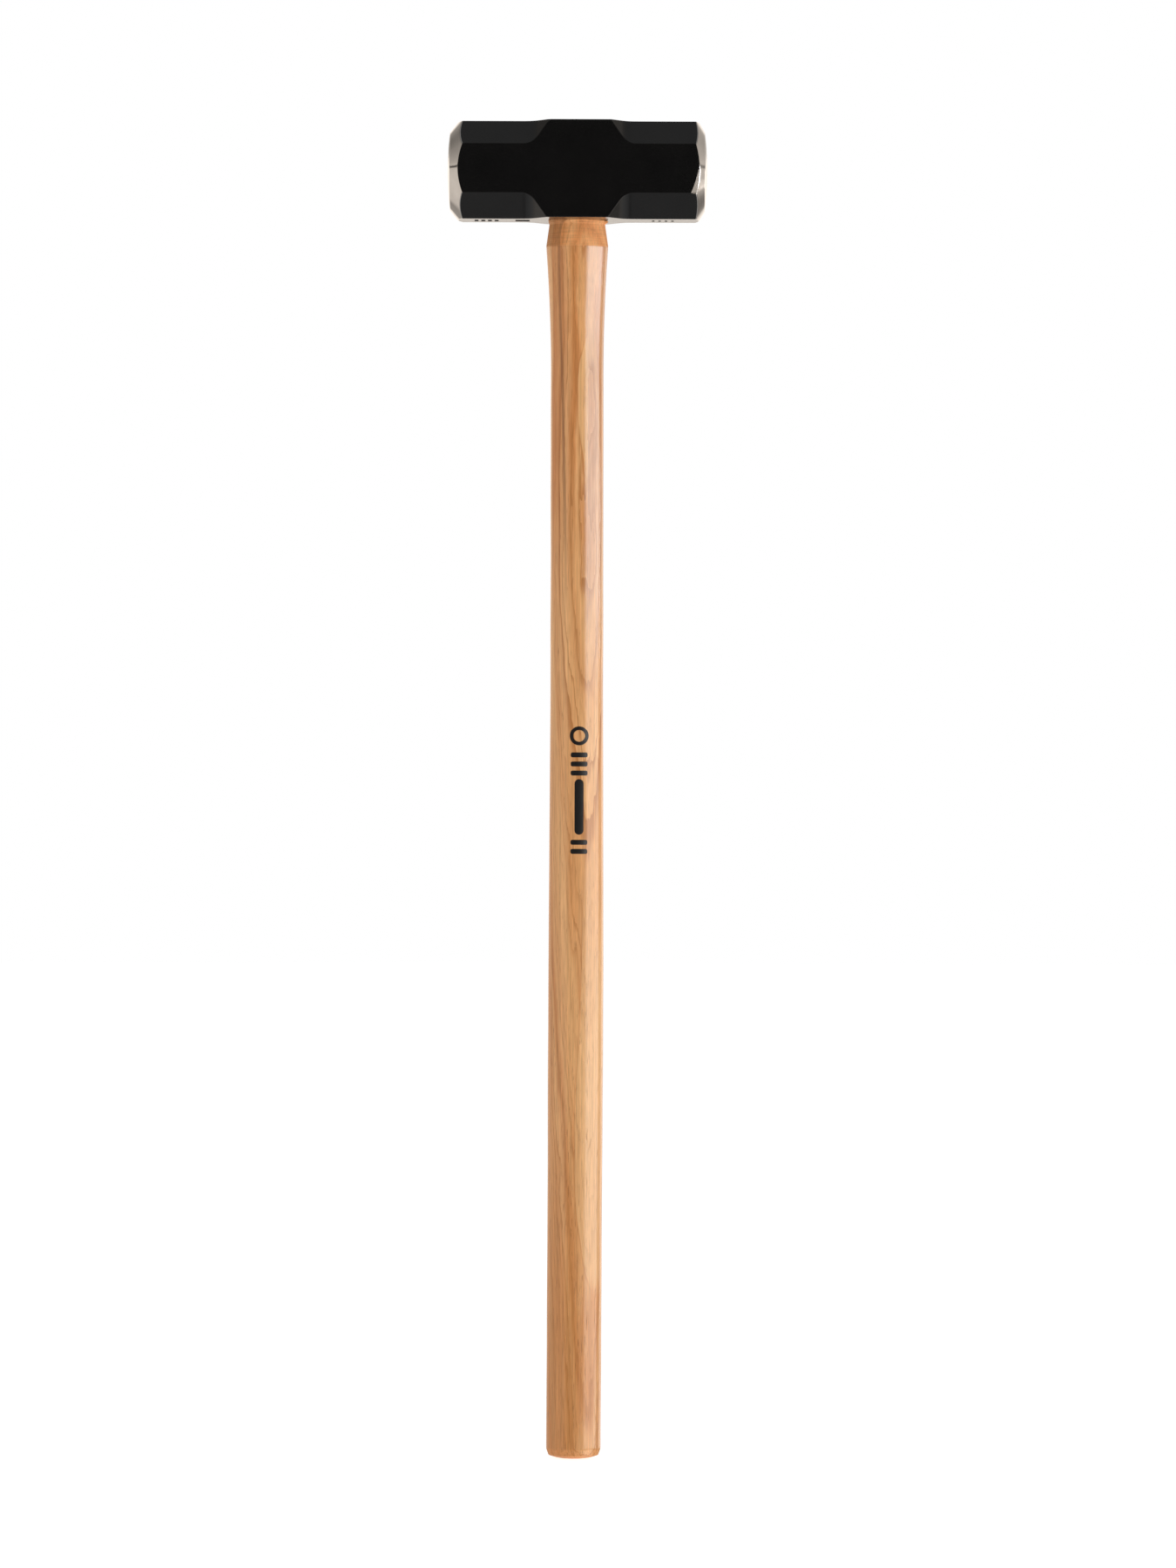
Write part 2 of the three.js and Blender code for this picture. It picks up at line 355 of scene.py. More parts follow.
def cut_eye(shell, windows):
    """Fills each window in the top and bottom flats up to the oval eye, and lines the eye."""
    rings = {}
    for level, window in windows.items():
        inward = -1 if level == "top" else 1
        height = HEAD_TOP if level == "top" else HEAD_BOTTOM
        mouth = eye_half_width(height)
        turns = [math.atan2(shell.points[v][1] / OVAL_RATIO, shell.points[v][0]) for v in window]
        lip_start = shell.ring([oval_point(mouth + EYE_LIP, t, height) for t in turns])
        middle = shell.ring(
            [
                tuple((a + b) / 2 for a, b in zip(shell.points[v], shell.points[w]))
                for v, w in zip(window, lip_start)
            ]
        )
        shell.join(window, middle)
        shell.join(middle, lip_start)
        last = lip_start
        lip = bend((mouth + EYE_LIP, height), (mouth, height), (mouth, height + inward * EYE_LIP), 5)
        for half_width, z in lip[1:]:
            fresh = shell.ring([oval_point(half_width, t, z) for t in turns])
            shell.join(last, fresh)
            last = fresh
        rings[level] = (last, turns)
    last, turns = rings["bottom"]
    for z in np.linspace(HEAD_BOTTOM + EYE_LIP, HEAD_TOP - EYE_LIP, 9)[1:-1]:
        fresh = shell.ring([oval_point(eye_half_width(z), t, float(z)) for t in turns])
        shell.join(last, fresh)
        last = fresh
    shell.join(last, rings["top"][0])


def make_head_body(material):
    """The painted forging with its eye, up to the two ground ends."""
    shell = Shell()
    arm = head_stations()
    stations = [-x for x in reversed(arm)] + arm[1:]
    rings = []
    for x in stations:
        rings.append(shell.ring([(x, y, HEAD_MIDDLE + z) for y, z in head_section(x)]))
    reach = EYE_WINDOW_COLUMNS
    first = next(i for i, x in enumerate(stations) if x > -EYE_WINDOW_HALF_LENGTH)
    last = len(stations) - 1 - first
    skipped = set()
    windows = {}
    for level, centre, order in (("top", QUARTER, 1), ("bottom", 3 * QUARTER, -1)):
        skipped.update(range(centre - reach, centre + reach))
        columns = [centre + order * i for i in range(-reach, reach + 1)]
        loop = [rings[first][c] for c in columns]
        loop += [rings[r][columns[-1]] for r in range(first + 1, last)]
        loop += [rings[last][c] for c in reversed(columns)]
        loop += [rings[r][columns[0]] for r in range(last - 1, first, -1)]
        windows[level] = loop
    for row in range(len(rings) - 1):
        inside = first <= row < last
        shell.join(rings[row], rings[row + 1], skip=skipped if inside else ())
    cut_eye(shell, windows)
    for end, ring in ((LEFT_END, rings[0]), (RIGHT_END, rings[-1])):
        edge = paint_edge(end)
        start = abs(stations[0])
        previous = ring
        for share in (0.5, 0.8, 0.94, 1.0):
            xs = [start + (x - start) * share for x in edge]
            fresh = shell.ring(end_ring(end, xs))
            shell.join(previous, fresh)
            previous = fresh
        shell.fan(previous, (end["side"] * (min(edge) - 1), 0.0, HEAD_MIDDLE))
    piece = build_piece("head_body", shell, material, ["head"])
    subtract(piece, [stamps_shell()])
    return piece


def stamps_shell():
    """Shallow punched marks on the underside: plain bars on both arms, and one plain panel."""
    shell = Shell()
    for places, half_length, half_width, depth in STAMPS:
        floor_half = (half_length - depth / 4, half_width - depth / 4)
        mouth_half = (half_length + STAMP_FLARE, half_width + STAMP_FLARE)
        for x in places:
            taper_shell(HEAD_BOTTOM + depth, HEAD_BOTTOM - 1, floor_half, mouth_half, x, shell)
    return shell


def make_striking_face(name, end, material):
    """One ground end: the turned bevel and the crowned, polished striking face."""
    shell = Shell()
    paint = paint_edge(end)
    edge = bevel_edge(end)
    rim = end["rim"]
    ring = shell.ring(end_ring(end, paint))
    shell.fan(ring, (end["side"] * (min(paint) - 1), 0.0, HEAD_MIDDLE))
    slant = math.hypot(1, end["drop"])

    def radial_ring(places):
        points = []
        for (x, radius), (y, z) in zip(places, ARM_SECTION):
            scale = radius / math.hypot(y, z)
            points.append((end["side"] * x, y * scale, HEAD_MIDDLE + z * scale))
        return shell.ring(points)

    rounding = []
    for x, radius in edge:
        rounding.append(
            bend(
                (x - BEVEL_EDGE_ROUNDING, radius),
                (x, radius),
                (
                    x + BEVEL_EDGE_ROUNDING * end["drop"] / slant,
                    radius - BEVEL_EDGE_ROUNDING / slant,
                ),
                ARC_STEPS,
            )
        )
    for i in range(ARC_STEPS + 1):
        fresh = radial_ring([points[i] for points in rounding])
        shell.join(ring, fresh)
        ring = fresh
    x_rim = rim_x(end)
    bevel_stop = (x_rim - RIM_ROUNDING * end["drop"] / slant, rim + RIM_ROUNDING / slant)
    starts = [points[-1] for points in rounding]
    for share in (0.06, 0.3, 0.6, 0.9, 1.0):
        places = [
            (x + (bevel_stop[0] - x) * share, r + (bevel_stop[1] - r) * share) for x, r in starts
        ]
        fresh = radial_ring(places)
        shell.join(ring, fresh)
        ring = fresh

    def crown_x(radius):
        return HEAD_LENGTH / 2 - FACE_CROWN_RADIUS + math.sqrt(FACE_CROWN_RADIUS**2 - radius**2)

    inner = rim - RIM_ROUNDING
    for x, radius in bend(bevel_stop, (x_rim, rim), (crown_x(inner), inner), ARC_STEPS)[1:]:
        fresh = radial_ring([(x, radius)] * len(ARM_SECTION))
        shell.join(ring, fresh)
        ring = fresh
    for share in (0.96, 0.85, 0.7, 0.55, 0.4, 0.25, 0.1):
        radius = inner * share
        fresh = radial_ring([(crown_x(radius), radius)] * len(ARM_SECTION))
        shell.join(ring, fresh)
        ring = fresh
    shell.fan(ring, (end["side"] * HEAD_LENGTH / 2, 0.0, HEAD_MIDDLE))
    return build_piece(name, shell, material, ["head"])


# ------------------------------------------------------------ handle


def round_corner(before, corner, after, reach):
    """The corner of a profile, rounded over this reach on both sides."""
    ends = []
    for other in (before, after):
        length = math.hypot(other[0] - corner[0], other[1] - corner[1])
        share = reach / length
        ends.append(tuple(c + (o - c) * share for c, o in zip(corner, other)))
    return bend(ends[0], corner, ends[1], ARC_STEPS)


def smooth_between(z, stations):
    """Half width at z, eased between the given (height, half width) stations."""
    for (low, first), (high, second) in zip(stations, stations[1:]):
        if z <= high:
            t = (z - low) / (high - low)
            return first + (second - first) * t * t * (3 - 2 * t)
    return stations[-1][1]


def handle_profile():
    """(Half width, height) from the middle of the butt to the end of the tongue."""
    swell_start = SHOULDER_HEIGHT - SWELL_LENGTH
    stations = [
        (BUTT_CHAMFER_TOP, GRIP_HALF_WIDTH),
        (190.0, GRIP_HALF_WIDTH),
        (GRIP_END, GRIP_END_HALF_WIDTH),
        (SHAFT_START, SHAFT_HALF_WIDTH),
        (swell_start, SHAFT_HALF_WIDTH),
    ]
    rim = (BUTT_RIM, BUTT_RIM_HEIGHT)
    chamfer = (GRIP_HALF_WIDTH, BUTT_CHAMFER_TOP)
    dome = bend((BUTT_FLAT, 0.0), ((BUTT_FLAT + BUTT_RIM) / 2, 0.0), rim, 10)
    profile = [(2.0, 0.0), (4.0, 0.0)] + dome[:-2]
    profile += round_corner(dome[-2], rim, chamfer, 0.5)
    profile += round_corner(rim, chamfer, (GRIP_HALF_WIDTH, 40.0), 0.9)
    for z in np.arange(12.0, swell_start, 6.0):
        profile.append((smooth_between(float(z), stations), float(z)))
    first = (SHAFT_HALF_WIDTH, swell_start)
    second = (SHAFT_HALF_WIDTH, swell_start + 46.0)
    third = (SHOULDER_HALF_WIDTH - 1.3, SHOULDER_HEIGHT - 21.0)
    shoulder = (SHOULDER_HALF_WIDTH, SHOULDER_HEIGHT)
    for i in range(28):
        t = i / 28
        weights = ((1 - t) ** 3, 3 * t * (1 - t) ** 2, 3 * t * t * (1 - t), t**3)
        corners = (first, second, third, shoulder)
        profile.append(tuple(sum(w * c[axis] for w, c in zip(weights, corners)) for axis in (0, 1)))
    neck = (NECK_HALF_WIDTH, HEAD_BOTTOM - 3.0)
    profile += round_corner(third, shoulder, neck, 0.8)
    for t in np.linspace(0.08, 1, 14):
        profile.append(tuple(float(a + (b - a) * t) for a, b in zip(shoulder, neck)))
    for z in np.linspace(HEAD_BOTTOM - 2.7, HEAD_BOTTOM - 0.1, 14):
        t = (z - HEAD_BOTTOM + 3.0) / 3.0
        half_width = NECK_HALF_WIDTH + (EYE_BOTTOM - WEDGED_GAP - NECK_HALF_WIDTH) * t
        profile.append((float(half_width), float(z)))
    for z in np.linspace(HEAD_BOTTOM + 0.1, HEAD_TOP, 26):
        profile.append((eye_half_width(float(z)) - WEDGED_GAP, float(z)))
    profile.append((EYE_TOP + 0.15, HEAD_TOP + 0.15))
    profile.append((EYE_TOP, OVERALL_LENGTH - 0.05))
    profile.append((EYE_TOP - 0.3, OVERALL_LENGTH))
    return profile


def bow(z):
    """How far the slightly bent handle stands to the right at this height."""
    share = min(1.0, max(0.0, z / HEAD_BOTTOM))
    return BOW * math.sin(math.pi * share)


def burr(turn, z):
    """Torn and curled fibres where the tongue was driven into the eye, mostly on the right."""
    below = HEAD_BOTTOM - z
    if not 0 < below < BURR_HEIGHT:
        return 0.0
    shape = math.sin(math.pi * (below / BURR_HEIGHT) ** 0.6)
    right = math.exp(-((math.remainder(turn - BURR_PLACE, 2 * math.pi) / BURR_SPREAD) ** 2))
    ragged = noise.noise((3.1 * math.cos(turn), 3.1 * math.sin(turn), z * 0.9))
    fine = noise.noise((14 * math.cos(turn), 14 * math.sin(turn), z * 2.1))
    return shape * max(0.0, 0.12 + 0.3 * ragged + 0.25 * fine + right * (1.5 + 1.1 * fine))


def handle_point(half_width, turn, z):
    """A point on the handle, with the unevenness that belt sanding leaves."""
    if z < HEAD_BOTTOM:
        hand = noise.noise((0.9 * math.cos(turn), 0.9 * math.sin(turn), z * 0.022))
        half_width += SANDING * hand * min(1.0, half_width / 18)
        half_width += burr(turn, z)
    x, y, z = oval_point(half_width, turn, z)
    return (x + bow(z), y, z)


def subtract(piece, shells):
    """Cuts closed shells out of a piece."""
    for shell in shells:
        mesh = bpy.data.meshes.new("cutter")
        mesh.from_pydata([tuple(c * MM for c in p) for p in shell.points], [], shell.faces)
        cutter = bpy.data.objects.new("cutter", mesh)
        bpy.context.scene.collection.objects.link(cutter)
        cut = piece.modifiers.new("cut", "BOOLEAN")
        cut.operation = "DIFFERENCE"
        cut.solver = "EXACT"
        cut.object = cutter
        evaluated = piece.evaluated_get(bpy.context.evaluated_depsgraph_get())
        result = bpy.data.meshes.new_from_object(evaluated)
        piece.modifiers.remove(cut)
        old = piece.data
        piece.data = result
        bpy.data.meshes.remove(old)
        bpy.data.objects.remove(cutter)
    piece.data.set_sharp_from_angle(angle=SHARP_ANGLE)


def taper_shell(top, bottom, top_half, bottom_half, centre_x=0.0, shell=None):
    """A closed four-sided taper; the halves are (along X, along Y)."""
    shell = shell or Shell()
    rings = []
    for z, (a, b) in ((bottom, bottom_half), (top, top_half)):
        corners = [(a, b), (-a, b), (-a, -b), (a, -b)]
        rings.append(shell.ring([(centre_x + x, y, z) for x, y in corners]))
    shell.join(rings[0], rings[1])
    shell.faces.append(tuple(reversed(rings[0])))
    shell.faces.append(tuple(rings[1]))
    return shell


def wedge_half(z, top, length, top_thickness, tip_thickness):
    share = (top - z) / length
    return (top_thickness + (tip_thickness - top_thickness) * share) / 2


def kerf_shell():
    """What the saw takes out of the tongue, spread to the taper of the wood wedge."""
    halves = []
    levels = (OVERALL_LENGTH + CUT_ABOVE, OVERALL_LENGTH - KERF_DEPTH)
    for z in levels:
        half = wedge_half(z, OVERALL_LENGTH, WOOD_WEDGE_LENGTH, *WOOD_WEDGE_THICKNESS)
        halves.append((HALF_SIZE, half + KERF_GAP))
    return taper_shell(*levels, *halves)


def steel_slot_shell(side):
    """The slot that a steel wedge splits open in the tongue and in the wood wedge."""
    start = OVERALL_LENGTH - STEEL_WEDGE_SUNK
    levels = (OVERALL_LENGTH + CUT_ABOVE, OVERALL_LENGTH - STEEL_WEDGE_SUNK - STEEL_WEDGE_LENGTH - 0.2)
    halves = []
    for z in levels:
        half = wedge_half(z, start, STEEL_WEDGE_LENGTH, *STEEL_WEDGE_THICKNESS)
        halves.append((half + STEEL_SLOT_GAP, STEEL_WEDGE_WIDTH / 2 + STEEL_SLOT_GAP))
    return taper_shell(*levels, *halves, side * STEEL_WEDGE_OFFSET)


def make_handle(material):
    """The hickory handle, from its domed butt to the wedged end of its tongue."""
    shell = Shell()
    previous = None
    for half_width, z in handle_profile():
        turns = [2 * math.pi * i / HANDLE_COLUMNS for i in range(HANDLE_COLUMNS)]
        ring = shell.ring([handle_point(half_width, turn, z) for turn in turns])
        if previous is None:
            shell.fan(ring, (0.0, 0.0, 0.0))
        else:
            shell.join(previous, ring)
        previous = ring
    shell.faces.append(tuple(previous))
    piece = build_piece("hickory_handle", shell, material, ["handle"])
    subtract(piece, [kerf_shell(), steel_slot_shell(-1), steel_slot_shell(1)])
    return piece


def make_wood_wedge(material):
    """The wedge in the kerf, as wide as the eye, sawn off flush."""
    shell = Shell()
    top = OVERALL_LENGTH - 0.02
    levels = np.linspace(OVERALL_LENGTH - WOOD_WEDGE_LENGTH, top - 0.2, 16)
    previous = None
    for z, inset in [(float(z), 0.0) for z in levels] + [(top, 0.12)]:
        half = wedge_half(z, OVERALL_LENGTH, WOOD_WEDGE_LENGTH, *WOOD_WEDGE_THICKNESS) - inset
        reach = min(eye_half_width(z), EYE_TOP) - 0.08 - inset
        side = []
        for i in range(9):
            y = half * (i / 4 - 1)
            side.append((reach * math.sqrt(1 - (y / (OVAL_RATIO * reach)) ** 2), y))
        ring = [(x, y, z) for x, y in side] + [(-x, y, z) for x, y in reversed(side)]
        fresh = shell.ring(ring)
        if previous is None:
            shell.faces.append(tuple(reversed(fresh)))
        else:
            shell.join(previous, fresh)
        previous = fresh
    shell.faces.append(tuple(previous))
    piece = build_piece("wood_wedge_flush", shell, material, ["wood_wedge"])
    subtract(piece, [steel_slot_shell(-1), steel_slot_shell(1)])
    return piece


def make_steel_wedge(name, side, material, node):
    """A barbed steel wedge with a hammered, slightly spread head."""
    shell = Shell()
    top = OVERALL_LENGTH - STEEL_WEDGE_SUNK
    bottom = top - STEEL_WEDGE_LENGTH
    levels = [(bottom, -0.15), (bottom + 0.4, 0.0)]
    for barb in range(5):
        z = bottom + 3.0 + barb * 3.6
        levels += [(z, 0.0), (z + 0.05, -0.22 if barb < 4 else 0.0)]
    levels += [(top - 3.0, 0.0), (top - 0.9, 0.0), (top - 0.45, 0.03), (top - 0.15, -0.08), (top, -0.35)]
    previous = None
    for z, change in levels:
        half = wedge_half(z, top, STEEL_WEDGE_LENGTH, *STEEL_WEDGE_THICKNESS) + change
        half = max(half, 0.12)
        width = STEEL_WEDGE_WIDTH / 2 + min(change, 0.0)
        ring = []
        for i in range(48):
            turn = 2 * math.pi * (i + 0.5) / 48
            c, s = math.cos(turn), math.sin(turn)
            x = math.copysign(abs(c) ** 0.25, c) * half
            y = math.copysign(abs(s) ** 0.12, s) * width
            ring.append((side * STEEL_WEDGE_OFFSET + x, y, z))
        fresh = shell.ring(ring)
        if previous is None:
            shell.faces.append(tuple(reversed(fresh)))
        else:
            shell.join(previous, fresh)
        previous = fresh
    shell.faces.append(tuple(previous))
    return build_piece(name, shell, material, [node])


# ------------------------------------------------------------ printed mark


def on_surface(x, z, lift):
    """The point of the handle's front at x (from its axis) and z, lifted off by this much."""
    stations = [(GRIP_END, GRIP_END_HALF_WIDTH), (SHAFT_START, SHAFT_HALF_WIDTH)]
    profile_half = smooth_between(z, stations)
    turn = -math.acos(x / profile_half)
    px, py, pz = handle_point(profile_half, turn, z)
    nx, ny = math.cos(turn) * OVAL_RATIO, math.sin(turn)
    length = math.hypot(nx, ny)
    return (px + lift * nx / length, py + lift * ny / length, pz)


def ink_shape(shell, outline, hole=None):
    """One closed, very thin patch of ink, from its outline and, for a ring, its hole."""
    centre_x = sum(x for x, _ in outline) / len(outline)
    centre_z = sum(z for _, z in outline) / len(outline)
    shares = (1.0, 0.75, 0.5, 0.25) if hole is None else (1.0, 0.5, 0.0)
    sheets = []
    for lift in (INK_LIFT, INK_SUNK):
        rings = []
        for share in shares:
            ring = []
            for i, (x, z) in enumerate(outline):
                far = hole[i] if hole else (centre_x, centre_z)
                near_x = far[0] + (x - far[0]) * share
                near_z = far[1] + (z - far[1]) * share
                ring.append(on_surface(near_x, near_z, lift))
            rings.append(shell.ring(ring))
        for first, second in zip(rings, rings[1:]):
            shell.join(first, second)
        if hole is None:
            shell.fan(rings[-1], on_surface(centre_x, centre_z, lift))
        sheets.append(rings)
    shell.join(sheets[0][0], sheets[1][0])
    if hole is not None:
        shell.join(sheets[0][-1], sheets[1][-1])


def rounded_bar(x, z, width, height, radius):
    """The outline of a bar with round corners; a circle if both sizes are twice the radius."""
    outline = []
    for corner, (side_x, side_z) in enumerate(((1, 1), (-1, 1), (-1, -1), (1, -1))):
        centre_x = x + side_x * (width / 2 - radius)
        centre_z = z + side_z * (height / 2 - radius)
        for i in range(MARK_CORNER_STEPS + 1):
            turn = math.pi / 2 * (corner + i / MARK_CORNER_STEPS)
            outline.append((centre_x + radius * math.cos(turn), centre_z + radius * math.sin(turn)))
    return outline


def divided(outline):
    """The same outline with its long edges divided, so that it can bend round the handle."""
    result = []
    for (x, z), (next_x, next_z) in zip(outline, outline[1:] + outline[:1]):
        count = math.ceil(math.hypot(next_x - x, next_z - z) / MARK_LONGEST_EDGE + 0.001)
        result += [(x + (next_x - x) * i / count, z + (next_z - z) * i / count) for i in range(count)]
    return result


def make_printed_mark(material):
    """A plain printed mark of a ring and bars, with no lettering."""
    shell = Shell()
    ring_z = MARK_TOP - MARK_RING_RADIUS
    circles = []
    for radius in (MARK_RING_RADIUS, MARK_HOLE_RADIUS):
        circles.append(rounded_bar(MARK_X, ring_z, 2 * radius, 2 * radius, radius))
    ink_shape(shell, *circles)

    def cross_bars(first_z, count):
        for bar in range(count):
            z = first_z - bar * MARK_BAR_PITCH
            ink_shape(shell, divided(rounded_bar(MARK_X, z, 11.5, 3.4, 1.2)))

    cross_bars(MARK_TOP - 19.5, 3)
    ink_shape(shell, divided(rounded_bar(MARK_X, MARK_TOP - 55, 6.2, 38, 3.1)))
    cross_bars(MARK_TOP - 79.2, 2)
    return build_piece("printed_mark", shell, material)


# ------------------------------------------------------------ node formulas


class Field:
    """A value that varies over a surface, so that node formulas read as sums and products."""

    def __init__(self, graph, socket):
        self.graph = graph
        self.socket = socket

    def math(self, operation, *others):
        made = self.graph.node("ShaderNodeMath", operation=operation)
        for socket, value in zip(made.inputs, (self, *others)):
            self.graph.connect(socket, value)
        return Field(self.graph, made.outputs[0])

    def __add__(self, other):
        return self.math("ADD", other)

    def __sub__(self, other):
        return self.math("SUBTRACT", other)

    def __mul__(self, other):
        return self.math("MULTIPLY", other)

    def __truediv__(self, other):
        return self.math("DIVIDE", other)

    def __neg__(self):
        return self * -1

    def step(self, low, high):
        """0 below low and 1 above high (or the other way round), smooth in between."""
        made = self.graph.node("ShaderNodeMapRange", {0: self}, interpolation_type="SMOOTHSTEP")
        if low < high:
            limits = (low, high, 0.0, 1.0)
        else:
            limits = (high, low, 1.0, 0.0)
        for place, value in enumerate(limits, 1):
            made.inputs[place].default_value = value
        return Field(self.graph, made.outputs[0])


class Graph:
    """The node tree of a material or of the world."""

    def __init__(self, owner):
        owner.use_nodes = True
        self.tree = owner.node_tree
        self.tree.nodes.clear()

    def connect(self, socket, value):
        if isinstance(value, Field):
            self.tree.links.new(value.socket, socket)
        else:
            socket.default_value = value

    def node(self, kind, inputs=(), **settings):
        made = self.tree.nodes.new(kind)
        for name, value in settings.items():
            setattr(made, name, value)
        for key, value in dict(inputs).items():
            self.connect(made.inputs[key], value)
        return made

    def coordinates(self, kind):
        places = self.node("ShaderNodeTexCoord")
        split = self.node("ShaderNodeSeparateXYZ", {0: Field(self, places.outputs[kind])})
        return [Field(self, socket) for socket in split.outputs]

    def position(self):
        """X, Y and Z on the object, in millimetres."""
        return [axis / MM for axis in self.coordinates("Object")]

    def noise(self, x, y, z, detail=2.0, roughness=0.5):
        """Smooth noise, mostly between -0.5 and 0.5, with features about one unit wide."""
        place = self.node("ShaderNodeCombineXYZ", {0: x, 1: y, 2: z})
        made = self.node(
            "ShaderNodeTexNoise",
            {"Vector": Field(self, place.outputs[0]), "Scale": 1.0, "Detail": detail, "Roughness": roughness},
        )
        return (Field(self, made.outputs[0]) - 0.5) * 2

    def random(self, value):
        """A random number from 0 to 1 for each whole value."""
        made = self.node("ShaderNodeTexWhiteNoise", {"W": value}, noise_dimensions="1D")
        return Field(self, made.outputs[0])

    def curve(self, value, points):
        """A smooth curve through (value, result) points."""
        values = [v for v, _ in points]
        results = [r for _, r in points]
        low, high = min(results), max(results)
        made = self.node("ShaderNodeFloatCurve", {1: (value - values[0]) / (values[-1] - values[0])})
        line = made.mapping.curves[0]
        for i, (v, r) in enumerate(points):
            place = ((v - values[0]) / (values[-1] - values[0]), (r - low) / (high - low))
            if i in (0, len(points) - 1):
                line.points[0 if i == 0 else -1].location = place
            else:
                line.points.new(*place)
        made.mapping.update()
        return Field(self, made.outputs[0]) * (high - low) + low

    def blend(self, share, first, second):
        """A number between first and second."""
        made = self.node("ShaderNodeMix", {0: share, 2: first, 3: second}, data_type="FLOAT")
        return Field(self, made.outputs[0])

    def mix(self, share, first, second, blend="MIX"):
        """A colour between first and second."""
        made = self.node("ShaderNodeMix", {0: share, 6: first, 7: second}, data_type="RGBA", blend_type=blend)
        return Field(self, made.outputs[2])

    def bump(self, height):
        """A normal from a height in millimetres."""
        made = self.node("ShaderNodeBump", {"Height": height, "Distance": MM, "Strength": 1.0})
        return Field(self, made.outputs[0])

    def surface(self, **inputs):
        """The finished surface; a name such as base_color stands for the socket Base Color."""
        sockets = {name.replace("_", " ").title().replace("Ior", "IOR"): v for name, v in inputs.items()}
        shader = self.node("ShaderNodeBsdfPrincipled", sockets)
        output = self.node("ShaderNodeOutputMaterial")
        self.tree.links.new(shader.outputs[0], output.inputs[0])


def new_material(name):
    material = bpy.data.materials.new(name)
    return material, Graph(material)


# ------------------------------------------------------------ materials


def black_paint():
    """Gloss black enamel, sprayed on the forging: a little orange peel, dust and waviness."""
    material, g = new_material("black_paint")
    x, y, z = g.position()
    peel = g.noise(x * 0.9, y * 0.9, z * 0.9)
    forging = g.noise(x * 0.07, y * 0.07, z * 0.07)
    dust = g.noise(x * 2.2, y * 2.2, z * 2.2, detail=1.0).step(0.48, 0.62)
    tone = g.noise(x * 0.05, y * 0.05, z * 0.05, detail=4.0) + 0.5
    color = g.mix(tone, (0.0042, 0.0042, 0.0043, 1), (0.0062, 0.006, 0.006, 1))
    color = g.mix(dust * 0.2, color, (0.05, 0.048, 0.045, 1))
    roughness = g.noise(x * 0.3, y * 0.3, z * 0.3, detail=4.0) * 0.05 + 0.2 + dust * 0.15
    normal = g.bump(peel * 0.004 + forging * 0.06 + dust * 0.004)
    g.surface(base_color=color, roughness=roughness, normal=normal)
    return material


def polished_steel():
    """Bare ground steel, with fine lines round the head's long axis from the grinder."""
    material, g = new_material("polished_steel")
    x, y, z = g.position()
    z = z - HEAD_MIDDLE
    radius = (y * y + z * z).math("SQRT")
    turn = y.math("ARCTAN2", z)
    lines = g.noise(radius * 2.4, x * 2.4, turn * 0.8, detail=3.0, roughness=0.7)
    coarse = g.noise(radius * 0.5, x * 0.5, turn * 1.2, detail=2.0)
    stain = g.noise(x * 0.12, y * 0.12, z * 0.12, detail=4.0)
    color = g.mix(stain + 0.5, (0.58, 0.56, 0.54, 1), (0.66, 0.64, 0.62, 1))
    color = g.mix(lines.step(0.25, 0.6) * 0.3, color, (0.42, 0.40, 0.38, 1))
    roughness = lines * 0.04 + 0.075 + stain * 0.03
    normal = g.bump(lines * 0.006 + coarse * 0.008)
    g.surface(base_color=color, roughness=roughness, metallic=1.0, normal=normal)
    return material


RING_WIDTH = 2.3
GRAIN_SLOPE = 0.4
GRAIN_DRIFT = [
    (0, -31), (100, -26.5), (200, -21.5), (330, -15.5), (450, -8.5), (560, -1.8), (690, 1),
    (762, -0.9), (847, -4), (915, -7),
]
BAND_TONE = [
    (-45, 1.1), (-26, 1.1), (-19, 0.9), (-16, 0.9), (-14.2, 0.6), (-12, 1.3), (-10, 0.7), (-6.5, 0.35),
    (-4, 0.3), (-2, 0.1), (0.5, 0.8), (2, 0.7), (5, 0.55), (8, 0.7), (10.5, 0.45), (13, 0.8),
    (14.7, 0.45), (15.8, 0.3), (17.5, 0.65), (30, 0.65),
]
DARK_LINE = [(540, -6), (729, -9.6), (815, -12.3), (829, -12.5), (847, -8)]

# pale islands of sapwood: their left edge, how long each end fades, right limit and strength
ISLANDS = [
    ([(640, 7), (683, 4.6), (712, 1.2), (738, 0.8), (758, 4), (772, 8)], (50, 14), 8, 0.6),
    (
        [(110, 13), (128, 8), (141, 5.5), (211, 0), (300, 3.5), (400, 6), (440, 8)],
        (18, 120), 18, 0.5,
    ),
]

PALE_WOOD = (0.84, 0.465, 0.205, 1)
DEEP_WOOD = (0.61, 0.235, 0.075, 1)
LATE_WOOD = (0.44, 0.165, 0.05, 1)
REDDER_WOOD = (0.54, 0.215, 0.058, 1)
BARE_WOOD = (0.66, 0.26, 0.075, 1)
# colour of the painted shade on the right side of the upper handle
RIGHT_PAINTED_SHADE = (0.41, 0.185, 0.075, 1)
ISLAND_RIM = (0.50, 0.18, 0.055, 1)
ISLAND_WOOD = (0.88, 0.53, 0.25, 1)
DARK_GRAIN = (0.27, 0.105, 0.035, 1)
PORE = (0.27, 0.095, 0.025, 1)


def growth_level(g, x, y, z):
    """How far a point lies through the growth rings of a flat-sawn stick, in millimetres."""
    broad = g.noise(x * 0.03, y * 0.03, z * 0.006, detail=1.0) * 3.0
    wavy = g.noise(x * 0.11, y * 0.11, z * 0.016, detail=1.0) * 2.0
    ragged = g.noise(x * 0.45, y * 0.45, z * 0.045, detail=2.0) * 0.8
    return g.curve(z, GRAIN_DRIFT) + x * GRAIN_SLOPE - y + broad + wavy + ragged


